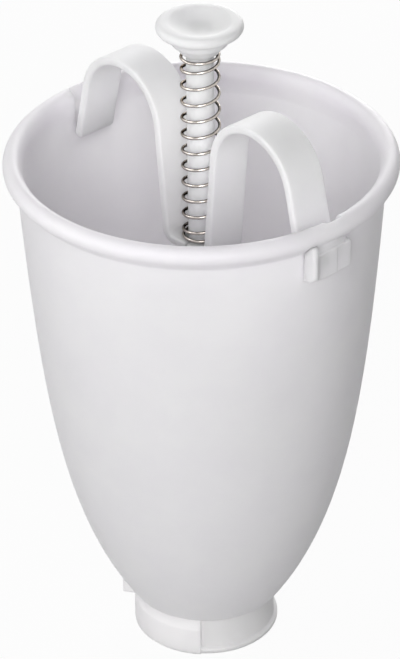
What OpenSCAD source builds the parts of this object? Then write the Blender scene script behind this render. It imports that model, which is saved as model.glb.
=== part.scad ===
// Donut dropper: hand-held batter hopper with a sprung plunger.
// Lengths in millimetres. The outlet stands on z = 0 and the axis of the hopper is the z axis.
// The finger bracket lies along the x axis.

/* [Hopper] */
// Outer diameter over the rolled rim
rim_d = 125; // [112:1:140]
// Height of the rim's crest above the table
hopper_h = 178; // [160:1:200]
// How far the rolled rim stands out of the bowl
rim_over = 4.3; // [3.6:0.1:5.2]
// Slope of the rim's underside, in degrees
rim_under_a = 45; // [40:1:55]
// Height of the flare inside the rim
rim_flare_h = 5.2; // [4:0.1:6.4]
// Soft fillet below the rolled rim
crease_r = 1.5; // [0.8:0.1:2.4]
// Wall of the bowl
hopper_wall = 2; // [1.6:0.1:2.6]
// How quickly the bowl swells above the outlet
swell_share = 3.9; // [2.8:0.1:5.2]
// Part of the swell that is a plain taper
taper_share = 0.26; // [0.1:0.01:0.45]

/* [Rotary buckle] */
// Height of the buckle block on the outside of the bowl
block_h = 9.4; // [8:0.1:11]
// Width of the buckle block
block_w = 15.6; // [14:0.1:18]
// Wall of the block outside its pocket
block_wall = 1.3; // [1:0.1:1.8]
// Room between the bowl's inner face and the back of the pocket
pocket_depth = 4; // [3.2:0.1:5]
// Stop fin: thickness along the wall
fin_w = 2.4; // [1.8:0.1:3]
// Stop fin: how far it stands out of the block
fin_out = 1.3; // [0.8:0.1:1.8]
// Width of the tongue on each bracket foot
tongue_w = 5.6; // [4.6:0.1:6.4]
// Angle that frees the bracket, in degrees
buckle_turn = 5.2; // [4.2:0.1:6]

/* [Outlet] */
// Clear bore of the outlet ring
outlet_d = 37; // [33:0.5:41]
// Ledge between the bore and the throat that the plug closes
throat_ledge = 3; // [2.4:0.1:3.8]
// Height of the outlet ring
ring_h = 14.4; // [12.5:0.1:17]
// Wall of the ring behind its locking groove
ring_wall = 1.2; // [1:0.1:1.8]
// How far the grip band stands out of the ring
band_step = 1.9; // [1.2:0.1:2.6]
// Height of the foot lip round the ring
foot_lip_h = 2.5; // [1.8:0.1:3.4]
// How far the foot lip stands out of the ring
foot_lip = 1.2; // [0.7:0.1:1.5]
// Reach of the thumb tab beyond the band
tab_reach = 4.4; // [3:0.1:6]
// Height of the thumb tab
tab_h = 8; // [6:0.1:9.5]
// Thickness of the thumb tab
tab_t = 3.2; // [2.4:0.1:4.2]
// Twist that frees the outlet ring, in degrees
ring_turn = 32; // [24:1:40]
// Reach of the two locking lugs on the neck
lug_reach = 1.2; // [0.9:0.1:1.6]
// Height of the locking lugs
lug_h = 2.2; // [1.6:0.1:2.6]

/* [Finger bracket] */
// Width of the strip
strip_w = 14.3; // [12:0.1:17]
// Thickness of the strip
strip_t = 2.9; // [2.4:0.1:3.4]
// Rounding of the strip's edges
strip_round = 0.8; // [0.4:0.1:1.1]
// Height of the finger arches above the rim
arch_rise = 22.6; // [18:0.1:27]
// Depth of the spring seat below the rim
seat_drop = 31; // [27:0.1:36]
// Depth of the bracket feet below the rim
foot_drop = 13; // [11.5:0.1:14.5]
// Lean of the inner legs, in degrees
inner_lean = 5.5; // [3:0.1:8]
// Lean of the outer legs, in degrees
outer_lean = 13; // [9:0.1:17]
// Length of the rod guide below the seat
guide_h = 7; // [4:0.1:12]
// Wall of the rod guide
guide_wall = 2.4; // [1.8:0.1:3]

/* [Plunger] */
// Diameter of the rod
rod_d = 8.7; // [7.6:0.1:9.4]
// Outer diameter of the spring
spring_d = 12.8; // [12:0.1:14]
// Wire of the spring
wire_d = 1; // [0.8:0.05:1.2]
// Turns of the spring
spring_turns = 12.75; // [9:0.25:16]
// Diameter of the thumb knob
knob_d = 27.6; // [24:0.1:32]
// Height of the thumb knob
knob_h = 10.4; // [9:0.1:12.5]
// Height of the knob's underside above the finger arches
knob_over = 12.8; // [8:0.1:18]
// Depth of the thumb dish in the knob
dish_h = 2.4; // [1.6:0.1:3.2]
// Land of the plug outside the throat
plug_land = 1.7; // [1.2:0.1:2.2]
// Height of the plug's straight edge
plug_edge_h = 3; // [2:0.1:3.6]

/* [Clearances] */
// Running gap between turning or sliding pieces
run_gap = 0.3; // [0.2:0.05:0.4]
// Gap between the rod and its guide
guide_gap = 0.1; // [0.05:0.01:0.2]
// Gap in a push-on joint
push_gap = 0.04; // [0.02:0.01:0.08]

/* [Hidden] */
$fn = 96;
overrun = hopper_wall;
profile_steps = 26;
profile_crowd = 1.5;
round_steps = 10;
edge_steps = 3;

// Outlet chain, from the bore outwards
outlet_r = outlet_d / 2;
throat_r = outlet_r - throat_ledge;
neck_ledge = 1.1;
neck_r = outlet_r + neck_ledge;
ring_bore_r = neck_r + run_gap;
lug_r = neck_r + lug_reach;
groove_r = lug_r + run_gap;
plain_r = groove_r + ring_wall;
band_r = plain_r + band_step;
foot_lip_r = plain_r + foot_lip;
shoulder_over = 0.6;
shoulder_r = band_r + shoulder_over;
shoulder_z = ring_h + run_gap;
ledge_h_share = 0.44;
ledge_z = ring_h * ledge_h_share;
neck_z = ledge_z + run_gap;
throat_lip_share = 0.26;
throat_lip_h = (shoulder_z - neck_z) * throat_lip_share;
lug_z = neck_z + throat_lip_h;
lug_arc = 24;
lug_slack = 1.5;
groove_z = lug_z - run_gap;
groove_top_z = lug_z + lug_h + run_gap;
bevel_share = 0.3;
bevel_in_share = 0.42;
bevel_h = ring_h * bevel_share;
bevel_in = ring_wall * bevel_in_share;
// Places of the grip band and the thumb tab round the ring, in degrees
band_start_a = 214;
band_end_a = 313;
lug_a = 70;
tab_drop = 0.6;
band_drop = 0.2;

// Bowl, with a rim that is round on top and slopes back to the wall below
top_r = rim_d / 2 - rim_over;
inner_top_r = top_r - hopper_wall;
crest_round = (rim_over + hopper_wall) / 2;
crest_r = inner_top_r + crest_round;
crest_z = hopper_h - crest_round;
fillet_drop = (crest_round + crease_r - cos(rim_under_a) * (top_r + crease_r - crest_r)) / sin(rim_under_a);
fillet_z = crest_z - fillet_drop;
bowl_h = fillet_z - shoulder_z;
neck_wall_share = 0.9;
neck_wall = hopper_wall * neck_wall_share;
floor_r = neck_r - neck_wall;

// The bowl swells quickly at first and ends as a plain taper
function swell(t) = (1 - taper_share) * (1 - exp(-swell_share * t)) / (1 - exp(-swell_share))
    + taper_share * t;
function bowl_r(z) = shoulder_r + (top_r - shoulder_r) * swell((z - shoulder_z) / bowl_h);
function bowl_slope(z) = (top_r - shoulder_r) / bowl_h * ((1 - taper_share) * swell_share
    * exp(-swell_share * (z - shoulder_z) / bowl_h) / (1 - exp(-swell_share)) + taper_share);
function inner_r(z) = bowl_r(z) - hopper_wall * sqrt(1 + pow(bowl_slope(z), 2));
function step_z(i, low, high) = low + (high - low) * pow(i / profile_steps, profile_crowd);
function arc(cx, cz, r, a, b, n) = [for (i = [0 : n]) let (t = a + (b - a) * i / n)
    [cx + r * cos(t), cz + r * sin(t)]];
function flip(list) = [for (i = [len(list) - 1 : -1 : 0]) list[i]];

// Buckle, with angles measured from the bracket's plane
block_top_share = 0.35;
block_top_z = fillet_z + crease_r * block_top_share;
block_z = block_top_z - block_h;
pocket_r = inner_r(block_z + block_h / 2) + pocket_depth;
block_x = pocket_r + block_wall;
block_facet_share = 0.08;
block_step_share = 0.2;
block_step = block_wall * block_step_share;
block_taper_share = 0.25;
block_taper = block_wall * block_taper_share;
block_round_share = 0.13;
block_round = block_h * block_round_share;
root_r = inner_r(block_z);
wall_mid_r = (inner_r(block_top_z) + bowl_r(block_z)) / 2;
fin_sink = fin_w / 4;
fin_web_share = 0.92;
fin_tip_a = 20;
tongue_a = tongue_w / pocket_r * 180 / PI;
lock_slack = 0.5;
pocket_end_a = 4.2;
pocket_start_a = pocket_end_a - buckle_turn - tongue_a - 2 * lock_slack;
tongue_start_a = pocket_start_a + lock_slack;
entry_start_a = pocket_end_a - tongue_a - 2 * lock_slack;
riser_a = 2 * lock_slack;
pocket_floor_share = 0.5;
pocket_roof_share = 0.1;
pocket_z = block_z + block_h * pocket_floor_share;
pocket_top_z = block_top_z - block_h * pocket_roof_share;

// Bracket: the inner leg starts beside the spring and the outer leg ends beside the bowl's wall
seat_z = hopper_h - seat_drop;
foot_z = hopper_h - foot_drop;
arch_z = hopper_h + arch_rise;
spring_room = 1.85;
foot_room = 1.85;
leg_in = spring_d / 2 + spring_room;
foot_reach = inner_r(foot_z) - foot_room;
leg_out = sqrt(pow(foot_reach, 2) - pow(strip_w / 2, 2));
arch_r = (leg_out - leg_in - (arch_z - foot_z) * tan(outer_lean) - (arch_z - seat_z) * tan(inner_lean))
    / (1 / cos(inner_lean) + 1 / cos(outer_lean) - tan(inner_lean) - tan(outer_lean));
arch_cz = arch_z - arch_r;
arch_mid_r = arch_r - strip_t / 2;
foot_leg_l = (arch_cz - foot_z) / cos(outer_lean) + arch_r * tan(outer_lean);
corner_share = 0.5;
corner_r = strip_t * corner_share;
corner_mid_r = corner_r + strip_t / 2;
slim = 0.02;
lap = sqrt(corner_r * slim);
corner_turn = 90 - inner_lean;
arch_turn = 180 - inner_lean - outer_lean;
seat_run = leg_in + corner_r * tan(inner_lean) - corner_r / cos(inner_lean);
inner_leg_l = (arch_cz - seat_z - corner_r) / cos(inner_lean) + (arch_r + corner_r) * tan(inner_lean);
guide_r = rod_d / 2 + guide_gap;
tongue_top_z = pocket_top_z - run_gap;
tongue_z = pocket_z + run_gap;
tongue_r = pocket_r - run_gap;
tongue_neck_z = max(foot_z, tongue_z) + run_gap;

// Plunger
rod_r = rod_d / 2;
socket_r = rod_r + push_gap;
knob_r = knob_d / 2;
knob_z = arch_z + knob_over;
knob_neck_share = 0.95;
knob_neck_r = spring_d / 2 * knob_neck_share;
knob_collar_share = 1.28;
knob_collar_r = spring_d / 2 * knob_collar_share;
knob_collar_h_share = 0.3;
knob_edge_share = 0.17;
knob_edge_r = knob_h * knob_edge_share;
dish_share = 0.72;
knob_top_z = knob_z + knob_h;
knob_floor_share = 0.16;
dish_z = knob_top_z - dish_h;
rod_top_z = dish_z - knob_h * knob_floor_share;
plug_r = throat_r + plug_land;
seat_edge_gap = run_gap * sqrt(2);
plug_shoulder_z = neck_z - seat_edge_gap - plug_land;
plug_z = plug_shoulder_z - plug_edge_h;
plug_boss_share = 1.35;
plug_boss_r = rod_r * plug_boss_share;
plug_cone_z = plug_shoulder_z + plug_r - plug_boss_r;
plug_boss_h = rod_r;
plug_top_z = plug_cone_z + plug_boss_h;
plug_hollow_share = 0.7;
plug_hollow_r = plug_r * plug_hollow_share;
plug_hollow_h_share = 0.5;
plug_hollow_h = plug_edge_h * plug_hollow_h_share;
rod_z = plug_shoulder_z;
rod_chamfer_share = 0.12;
rod_chamfer = rod_r * rod_chamfer_share;

// Spring: one closed turn at each end, even pitch between
wire_r = wire_d / 2;
coil_r = spring_d / 2 - wire_r;
end_gap = 0.6;
end_pitch = wire_d + end_gap;
spring_z = seat_z + run_gap + wire_r;
spring_top_z = knob_z - run_gap - wire_r;
main_pitch = (spring_top_z - spring_z - 2 * end_pitch) / (spring_turns - 2);
wire_rings = 8;
wire_sides = 6;
spring_phase_a = -173;
function coil_z(u) = u < 1 ? spring_z + u * end_pitch
    : u > spring_turns - 1 ? spring_top_z - (spring_turns - u) * end_pitch
    : spring_z + end_pitch + (u - 1) * main_pitch;
function coil_p(u) = u < 1 || u > spring_turns - 1 ? end_pitch : main_pitch;
function coil_a(u) = spring_phase_a + 360 * u;
function coil_at(u) = [coil_r * cos(coil_a(u)), coil_r * sin(coil_a(u)), coil_z(u)];
function coil_tilt(u) = atan(coil_p(u) / (2 * PI * coil_r));
function wire_at(u, b) = coil_at(u)
    + wire_r * cos(b) * [cos(coil_a(u)), sin(coil_a(u)), 0]
    + wire_r * sin(b) * [sin(coil_tilt(u)) * sin(coil_a(u)), -sin(coil_tilt(u)) * cos(coil_a(u)),
        cos(coil_tilt(u))];
coil_count = wire_rings * spring_turns;
coil_centres = [for (i = [0 : coil_count]) coil_at(i / wire_rings)];
coil_near = min([for (i = [0 : coil_count]) for (j = [i + wire_rings / 2 : 1 : coil_count])
    norm(coil_centres[i] - coil_centres[j])]);
echo(spring_least_gap = coil_near - wire_d);

function strip_outline(x, w, t, r) = concat(
    arc(x + t / 2 - r, w / 2 - r, r, 0, 90, edge_steps),
    arc(x - t / 2 + r, w / 2 - r, r, 90, 180, edge_steps),
    arc(x - t / 2 + r, r - w / 2, r, 180, 270, edge_steps),
    arc(x + t / 2 - r, r - w / 2, r, 270, 360, edge_steps));

// A sector of a ring between two angles
module sector(r_in, r_out, z_low, z_high, a, b) {
    rotate([0, 0, a])
        rotate_extrude(angle = b - a)
            polygon([[r_in, z_low], [r_out, z_low], [r_out, z_high], [r_in, z_high]]);
}

// Bowl with its rolled rim, neck and throat
module bowl_shell() {
    fillet_step_a = rim_under_a / round_steps;
    outer = concat(
        [[throat_r, neck_z], [neck_r, neck_z], [neck_r, shoulder_z]],
        [for (i = [0 : profile_steps]) let (z = step_z(i, shoulder_z, fillet_z)) [bowl_r(z), z]],
        arc(top_r + crease_r, fillet_z, crease_r, 180 - fillet_step_a, 180 - rim_under_a, round_steps - 1),
        arc(crest_r, crest_z, crest_round, -rim_under_a, 90, 2 * round_steps));
    inner_low_z = shoulder_z + hopper_wall;
    inner = concat(
        [for (i = [1 : round_steps]) let (a = 90 + 90 * i / round_steps)
            [crest_r + crest_round * cos(a), hopper_h - rim_flare_h * (1 - sin(a))]],
        flip([for (i = [0 : profile_steps - 1]) let (z = step_z(i, inner_low_z, fillet_z)) [inner_r(z), z]]),
        [[floor_r, inner_low_z - hopper_wall * neck_wall_share], [floor_r, neck_z + throat_lip_h],
            [throat_r, neck_z + throat_lip_h / 2]]);
    rotate_extrude()
        polygon(concat(outer, inner));
}

// Stop fin: a round-nosed rib beside the block
module stop_fin() {
    nose_r = fin_w / 2;
    nose_x = block_x + fin_out - nose_r;
    nose_z = block_z + nose_r;
    nose_h = block_top_z - nose_z;
    web_w = fin_w * fin_web_share;
    translate([nose_x, 0, nose_z]) {
        rotate_extrude()
            polygon(concat([[0, nose_h], [0, -nose_r * cos(fin_tip_a)]],
                arc(0, 0, nose_r, fin_tip_a - 90, 0, round_steps), [[nose_r, nose_h]]));
        translate([root_r - nose_x, -web_w / 2, 0])
            cube([nose_x - root_r, web_w, nose_h]);
        translate([root_r - nose_x, 0, 0])
            rotate([0, 90, 0])
                cylinder(r = web_w / 2, h = nose_x - root_r);
    }
}

// Outside of the buckle: block with two facets and round corners, the riser to the rim and the stop fin
module buckle_outside() {
    facet_y = block_w * block_facet_share;
    corner_y = block_w / 2 - block_round;
    intersection() {
        translate([0, 0, block_z])
            linear_extrude(block_h)
                polygon([[root_r, -block_w / 2], [block_x, -block_w / 2], [block_x, facet_y],
                    [block_x - block_step, facet_y], [block_x - block_step - block_taper, block_w / 2],
                    [root_r, block_w / 2]]);
        translate([root_r - overrun, 0, 0])
            rotate([90, 0, 90])
                linear_extrude(block_x - root_r + 2 * overrun)
                    polygon(concat(
                        arc(corner_y, block_top_z - block_round, block_round, 0, 90, edge_steps),
                        [[-block_w / 2, block_top_z], [-block_w / 2, block_z]],
                        arc(corner_y, block_z + block_round, block_round, 270, 360, edge_steps)));
    }
    fin_y = (block_w + fin_w) / 2 - fin_sink;
    sector(wall_mid_r, pocket_r + block_wall / 2, block_z + block_h / 2, crest_z,
        -atan2(fin_y, block_x), pocket_end_a + riser_a);
    translate([0, -fin_y, 0])
        stop_fin();
}

// Pocket that the bracket's tongue turns in, with its way in from above
module buckle_cut() {
    cut_r = inner_top_r - pocket_depth;
    entry_room = run_gap / 2;
    sector(cut_r, pocket_r, pocket_z, pocket_top_z, pocket_start_a, entry_start_a + tongue_a / 2);
    sector(cut_r, pocket_r + entry_room, pocket_z - entry_room, hopper_h + overrun,
        entry_start_a, pocket_end_a);
}

module hopper() {
    color([0.93, 0.93, 0.94])
        difference() {
            union() {
                bowl_shell();
                for (side = [0, 180])
                    rotate([0, 0, side])
                        difference() {
                            buckle_outside();
                            translate([0, 0, block_z - overrun])
                                cylinder(r = wall_mid_r, h = block_h + 2 * overrun);
                        }
                for (side = [0, 180])
                    sector(neck_r - neck_wall / 2, lug_r, lug_z, lug_z + lug_h,
                        lug_a + side - lug_arc / 2, lug_a + side + lug_arc / 2);
            }
            for (side = [0, 180])
                rotate([0, 0, side])
                    buckle_cut();
        }
}

// Outlet ring with its grip band, thumb tab and locking groove
module outlet_ring() {
    groove_in_r = neck_r - neck_wall / 2;
    band_in_r = groove_r + ring_wall / 2;
    color([0.9, 0.9, 0.92])
        difference() {
            union() {
                rotate_extrude()
                    polygon([[outlet_r, 0], [foot_lip_r - foot_lip / 2, 0], [foot_lip_r, foot_lip / 2],
                        [foot_lip_r, foot_lip_h - foot_lip / 2], [plain_r, foot_lip_h],
                        [plain_r, ring_h - bevel_h], [plain_r - bevel_in, ring_h], [outlet_r, ring_h]]);
                rotate([0, 0, band_start_a])
                    rotate_extrude(angle = band_end_a - band_start_a)
                        polygon([[band_in_r, band_drop], [band_r - foot_lip / 2, band_drop],
                            [band_r, band_drop + foot_lip / 2], [band_r, ring_h - bevel_h],
                            [plain_r, ring_h - band_drop], [band_in_r, ring_h - band_drop]]);
                rotate([0, 0, band_start_a])
                    translate([band_in_r, -tab_t / 4, ring_h - tab_drop - tab_h])
                        cube([band_r + tab_reach - band_in_r, tab_t, tab_h]);
            }
            translate([0, 0, -overrun])
                cylinder(r = outlet_r, h = ring_h + 2 * overrun);
            translate([0, 0, ledge_z])
                cylinder(r = ring_bore_r, h = ring_h);
            for (side = [0, 180]) {
                lug_low_a = lug_a + side - lug_arc / 2 - lug_slack;
                lug_high_a = lug_a + side + lug_arc / 2 + lug_slack;
                sector(groove_in_r, groove_r, groove_z, groove_top_z, lug_low_a - ring_turn, lug_high_a);
                sector(groove_in_r, groove_r, groove_z, ring_h + overrun,
                    lug_low_a - ring_turn, lug_high_a - ring_turn);
            }
        }
}

// A straight run of the strip along +x, lapped into what comes before it and after it
module strip_run(l, lap_before, lap_after) {
    translate([-lap_before, 0, 0])
        rotate([0, 90, 0])
            linear_extrude(l + lap_before + lap_after)
                polygon(strip_outline(0, strip_w - 2 * slim, strip_t - 2 * slim, strip_round - slim));
}

// A curved run of the strip that starts along +x and turns upwards
module strip_bend(mid_r, turn) {
    translate([0, 0, mid_r])
        rotate([90, 0, 0])
            rotate([0, 0, -90])
                rotate_extrude(angle = turn)
                    polygon(strip_outline(mid_r, strip_w, strip_t, strip_round));
}

// Moves what follows to the end of a straight run
module after_run(l) {
    translate([l, 0, 0])
        children();
}

// Moves what follows to the end of an upward bend
module after_bend(mid_r, turn) {
    translate([0, 0, mid_r])
        rotate([0, -turn, 0])
            translate([0, 0, -mid_r])
                children();
}

// Finger arch and outer leg, from the top of the inner leg
module arch_and_leg() {
    mirror([0, 0, 1]) {
        strip_bend(arch_mid_r, arch_turn);
        after_bend(arch_mid_r, arch_turn)
            strip_run(foot_leg_l, lap, 0);
    }
}

// One half of the strip, from the end of the seat, up the inner leg and over the arch
module strip_half() {
    after_run(seat_run) {
        strip_bend(corner_mid_r, corner_turn);
        after_bend(corner_mid_r, corner_turn) {
            strip_run(inner_leg_l, lap, lap);
            after_run(inner_leg_l)
                arch_and_leg();
        }
    }
}

// Tongue on the foot, turned into the buckle's pocket
module foot_tongue() {
    tongue_in = leg_out - strip_t / 2;
    hook_r = top_r - hopper_wall / 2;
    intersection() {
        rotate([0, 0, tongue_start_a + tongue_a / 2])
            translate([0, tongue_w / 2, 0])
                rotate([90, 0, 0])
                    linear_extrude(tongue_w)
                        polygon([[tongue_in, tongue_neck_z], [hook_r, tongue_neck_z], [hook_r, tongue_z],
                            [pocket_r, tongue_z], [pocket_r, tongue_top_z], [tongue_in, tongue_top_z]]);
        cylinder(r = tongue_r, h = hopper_h);
    }
}

module finger_bracket() {
    color([0.96, 0.96, 0.96])
        difference() {
            union() {
                for (side = [0, 180])
                    rotate([0, 0, side]) {
                        translate([0, 0, seat_z - strip_t / 2])
                            strip_half();
                        foot_tongue();
                    }
                translate([0, 0, seat_z - strip_t / 2])
                    strip_run(seat_run, seat_run + lap, lap);
                translate([0, 0, seat_z - strip_t - guide_h])
                    cylinder(r = guide_r + guide_wall, h = guide_h + strip_t / 2);
            }
            translate([0, 0, seat_z - strip_t - guide_h - overrun])
                cylinder(r = guide_r, h = guide_h + strip_t + 2 * overrun);
        }
}

module plunger_rod() {
    color([0.95, 0.95, 0.95])
        rotate_extrude()
            polygon([[0, rod_z], [rod_r - rod_chamfer, rod_z], [rod_r, rod_z + rod_chamfer],
                [rod_r, rod_top_z - rod_chamfer], [rod_r - rod_chamfer, rod_top_z], [0, rod_top_z]]);
}

// Cone plug that closes the throat from below
module outlet_plug() {
    color([0.94, 0.94, 0.95])
        rotate_extrude()
            polygon([[0, plug_z + plug_hollow_h], [plug_hollow_r - plug_hollow_h, plug_z + plug_hollow_h],
                [plug_hollow_r, plug_z], [plug_r, plug_z], [plug_r, plug_shoulder_z],
                [plug_boss_r, plug_cone_z], [plug_boss_r, plug_top_z], [socket_r, plug_top_z],
                [socket_r, rod_z], [0, rod_z]]);
}

// Compression spring, one unbroken wire
module return_spring() {
    points = concat(
        [for (i = [0 : coil_count]) for (k = [0 : wire_sides - 1])
            wire_at(i / wire_rings, 360 * k / wire_sides)],
        [coil_at(0), coil_at(spring_turns)]);
    first = wire_sides * (coil_count + 1);
    faces = concat(
        [for (i = [0 : coil_count - 1]) for (k = [0 : wire_sides - 1])
            let (n = (k + 1) % wire_sides, j = i + 1)
                [i * wire_sides + k, j * wire_sides + k, j * wire_sides + n]],
        [for (i = [0 : coil_count - 1]) for (k = [0 : wire_sides - 1])
            let (n = (k + 1) % wire_sides, j = i + 1)
                [i * wire_sides + k, j * wire_sides + n, i * wire_sides + n]],
        [for (k = [0 : wire_sides - 1]) [first, k, (k + 1) % wire_sides]],
        [for (k = [0 : wire_sides - 1])
            [first + 1, coil_count * wire_sides + (k + 1) % wire_sides, coil_count * wire_sides + k]]);
    color([0.62, 0.62, 0.63])
        polyhedron(points = points, faces = faces);
}

// Dished thumb knob on the rod's upper end
module thumb_knob() {
    collar_z = knob_z + knob_h * knob_collar_h_share;
    flare_r = knob_collar_r + knob_edge_r / 2;
    edge_z = knob_top_z - knob_edge_r;
    edge_x = knob_r - knob_edge_r;
    dish_x = knob_r * dish_share;
    dish_r = (pow(dish_x, 2) + pow(dish_h, 2)) / (2 * dish_h);
    dish_a = asin(dish_x / dish_r);
    color([0.94, 0.94, 0.94])
        rotate_extrude()
            polygon(concat(
                [[socket_r, knob_z], [knob_neck_r, knob_z], [knob_collar_r, collar_z], [flare_r, collar_z]],
                [for (i = [1 : round_steps]) let (a = 90 * i / round_steps)
                    [flare_r + (edge_x - flare_r) * (1 - cos(a)),
                        collar_z + (edge_z - knob_edge_r - collar_z) * sin(a)]],
                arc(edge_x, edge_z, knob_edge_r, -90 + 180 / round_steps, 90, round_steps),
                [for (i = [0 : round_steps - 1]) let (a = dish_a * (1 - i / round_steps))
                    [dish_r * sin(a), dish_z + dish_r * (1 - cos(a))]],
                [[0, dish_z + dish_r * (1 - cos(dish_a / round_steps))], [0, rod_top_z],
                    [socket_r, rod_top_z]]));
}

hopper();
outlet_ring();
finger_bracket();
plunger_rod();
outlet_plug();
return_spring();
thumb_knob();
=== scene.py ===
import math

import bpy
import numpy as np
from mathutils import Matrix, Vector


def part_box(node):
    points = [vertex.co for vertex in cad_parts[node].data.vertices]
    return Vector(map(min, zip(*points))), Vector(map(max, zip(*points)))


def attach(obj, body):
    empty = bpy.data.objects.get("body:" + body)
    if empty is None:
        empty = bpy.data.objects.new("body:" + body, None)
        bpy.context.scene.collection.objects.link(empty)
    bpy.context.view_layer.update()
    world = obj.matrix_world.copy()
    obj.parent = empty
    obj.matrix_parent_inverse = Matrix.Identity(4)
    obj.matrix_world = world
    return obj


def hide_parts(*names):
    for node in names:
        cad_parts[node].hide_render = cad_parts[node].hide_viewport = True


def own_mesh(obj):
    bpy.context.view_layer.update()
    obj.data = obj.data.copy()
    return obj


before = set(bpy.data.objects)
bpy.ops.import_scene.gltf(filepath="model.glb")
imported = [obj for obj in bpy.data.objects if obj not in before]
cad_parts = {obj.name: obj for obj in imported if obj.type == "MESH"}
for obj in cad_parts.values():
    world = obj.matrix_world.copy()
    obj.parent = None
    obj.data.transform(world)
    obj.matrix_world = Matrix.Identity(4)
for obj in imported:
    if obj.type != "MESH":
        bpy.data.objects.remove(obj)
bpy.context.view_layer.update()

bl_info = {
    "name": "Donut Dropper",
    "version": (1, 0, 0),
    "blender": (4, 5, 0),
    "location": "3D View > Sidebar > Dropper",
    "description": "Builds a hand-held batter dropper with a sprung plunger over its solids",
    "category": "Add Mesh",
}

MM = 0.001
HALF_TURN = 180.0
SKIP = 2.0  # degrees left out where one arc follows another, so that no point is doubled
WHITE = (1.0, 1.0, 1.0, 1.0)
FINE = 0.004 * MM  # widest gap between a smooth outline and its chords
SOCKET_GAP = 0.04 * MM  # push fit of the rod in the knob and in the plug


def low(node):
    """Lowest corner of a solid, in metres."""
    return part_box(node)[0]


def high(node):
    """Highest corner of a solid, in metres."""
    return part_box(node)[1]


def length(label, about, value):
    """A length of the part, in metres."""
    return bpy.props.FloatProperty(name=label, description=about, default=value, min=0.0,
                                   precision=5, unit="LENGTH", subtype="DISTANCE")


def degrees(label, about, value):
    """An angle of the part, given in degrees and kept in radians."""
    return bpy.props.FloatProperty(name=label, description=about, default=math.radians(value),
                                   unit="ROTATION", subtype="ANGLE")


def share(label, about, value):
    """A plain number without a unit."""
    return bpy.props.FloatProperty(name=label, description=about, default=value, precision=4)


def colour(label, about, value):
    """A linear colour."""
    return bpy.props.FloatVectorProperty(name=label, description=about, default=value, size=3,
                                         min=0.0, max=1.0, subtype="COLOR")


def place(label, about, value):
    """A point in the part's frame, in metres."""
    return bpy.props.FloatVectorProperty(name=label, description=about, default=value, size=3,
                                         precision=5, unit="LENGTH", subtype="TRANSLATION")


class BowlSettings(bpy.types.PropertyGroup):
    """Sizes and colour of the hopper."""

    rim_r: length("Rim radius", "Outer radius over the rolled rim", high("hopper").y)
    rim_z: length("Rim height", "Crest of the rolled rim", high("hopper").z)
    rim_over: length("Rim overhang", "How far the rolled rim stands out of the bowl", 4.3 * MM)
    under: degrees("Rim underside", "Slope of the rim's underside", 45.0)
    flare: length("Rim flare", "Height of the flare inside the rim", 5.2 * MM)
    crease_r: length("Crease", "Soft fillet below the rolled rim", 1.5 * MM)
    wall: length("Wall", "Wall of the bowl", 2.0 * MM)
    swell: share("Swell", "How quickly the bowl swells above the outlet", 3.9)
    taper: share("Taper", "Part of the swell that is a plain taper", 0.26)
    shoulder_r: length("Shoulder radius", "Bowl at the outlet ring", 24.8 * MM)
    shoulder_z: length("Shoulder height", "Foot of the bowl above the table", 14.7 * MM)
    neck_r: length("Neck radius", "Neck inside the outlet ring", 19.6 * MM)
    throat_r: length("Throat radius", "Opening that the plug closes", 15.5 * MM)
    soft: length("Edge softness", "Rounding of the moulded edges", 0.22 * MM)
    shade: colour("Plastic", "White of the hopper", (0.906, 0.882, 0.916))


class RingSettings(bpy.types.PropertyGroup):
    """Sizes and colour of the outlet ring."""

    bore_r: length("Bore radius", "Clear bore of the ring", 18.5 * MM)
    seat_r: length("Socket radius", "Socket for the hopper's neck", 19.9 * MM)
    plain_r: length("Plain radius", "Outside of the plain half", 22.3 * MM)
    band_r: length("Band radius", "Outside of the grip band", 24.2 * MM)
    lip_r: length("Foot radius", "Outside of the foot lip", 23.5 * MM)
    top_z: length("Height", "Upper edge of the ring", high("outlet_ring").z)
    band_start: degrees("Band start", "Where the grip band starts, at the thumb tab", 214.0)
    band_end: degrees("Band end", "Where the grip band ends", 313.0)
    tab_end_r: length("Tab end", "Outer end of the thumb tab", 28.6 * MM)
    soft: length("Edge softness", "Rounding of the moulded edges", 0.18 * MM)
    shade: colour("Plastic", "White of the ring", (0.908, 0.888, 0.898))


class BracketSettings(bpy.types.PropertyGroup):
    """Sizes and colour of the finger bracket."""

    width: length("Strip width", "Width of the strip", 14.3 * MM)
    thick: length("Strip thickness", "Thickness of the strip", 2.9 * MM)
    edge_r: length("Edge rounding", "Rounding of the strip's edges", 0.8 * MM)
    seat_z: length("Seat height", "Upper face of the spring seat", 147.0 * MM)
    foot_z: length("Foot height", "Lower end of the outer legs", 165.0 * MM)
    arch_z: length("Arch height", "Crest of the finger arches", high("finger_bracket").z)
    leg_in: length("Inner leg", "Inner leg's face at the seat, from the axis", 8.25 * MM)
    arch_r: length("Arch radius", "Outside of the finger arch", 18.8 * MM)
    corner_r: length("Corner radius", "Inside of the bend at the seat", 1.45 * MM)
    inner_lean: degrees("Inner lean", "Lean of the inner legs", 5.5)
    outer_lean: degrees("Outer lean", "Lean of the outer legs", 13.0)
    guide_r: length("Guide bore", "Bore of the rod guide", 4.45 * MM)
    guide_wall: length("Guide wall", "Wall of the rod guide", 2.4 * MM)
    shade: colour("Plastic", "White of the bracket", (0.93, 0.93, 0.935))


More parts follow.
